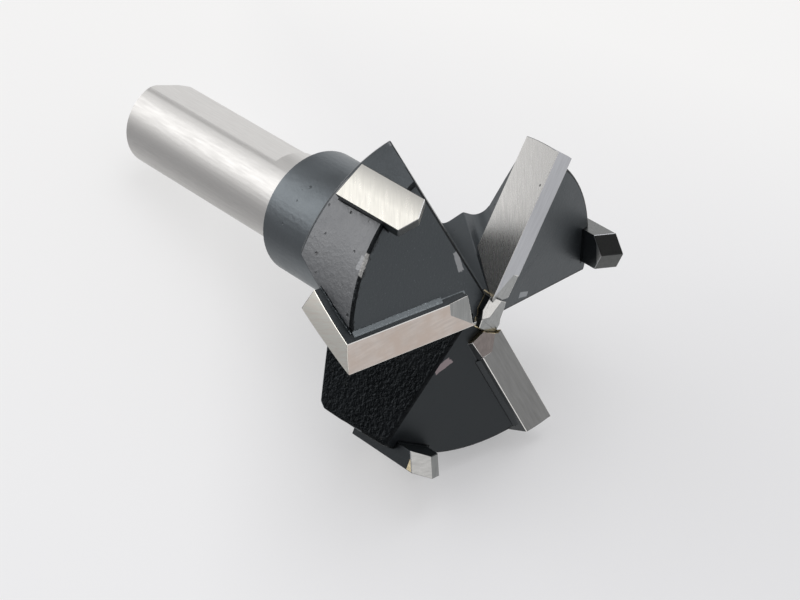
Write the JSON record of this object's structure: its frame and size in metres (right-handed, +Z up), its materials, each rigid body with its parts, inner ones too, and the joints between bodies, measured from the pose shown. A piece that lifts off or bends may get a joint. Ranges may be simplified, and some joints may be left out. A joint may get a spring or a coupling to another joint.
{
  "type": "hinge boring bit",
  "caption": "Carbide-tipped boring bit for blind hinge holes: flatted round shank, black collar and winged head with plate cutters, rim spurs and a low centre point.",
  "frame": {"origin": "centre of the bounding box's underside, on the surface the bit lies on", "axes": "+Z up from the surface, +X level and along the bit towards its tip, +Y to the left of the tip"},
  "size_m": [0.0596, 0.0348, 0.0347],
  "materials": {
    "head_steel": "satin black finish on the head and collar, ground bright shank",
    "carbide": "ground tungsten carbide",
    "braze": "dull brazing metal, mostly under the black finish",
    "screw_steel": "black oxide socket screw"
  },
  "bodies": {
    "bit": {"body": "head_steel", "main_braze_1": "braze", "main_braze_2": "braze", "main_braze_3": "braze", "main_cutter_1": "carbide", "main_cutter_2": "carbide", "main_cutter_3": "carbide", "point_braze": "braze", "spur_braze_1": "braze", "spur_braze_2": "braze", "spur_braze_3": "braze", "spur_cutter_1": "carbide", "spur_cutter_2": "carbide", "spur_cutter_3": "carbide"},
    "length_screw": {"length_screw": "screw_steel"}
  },
  "joints": [
    {"name": "length_screw_travel", "type": "slide", "parent": "bit", "child": "length_screw", "axis": [-0.9678, 0, -0.2516], "range_m": [-0.005, 0.002]}
  ]
}
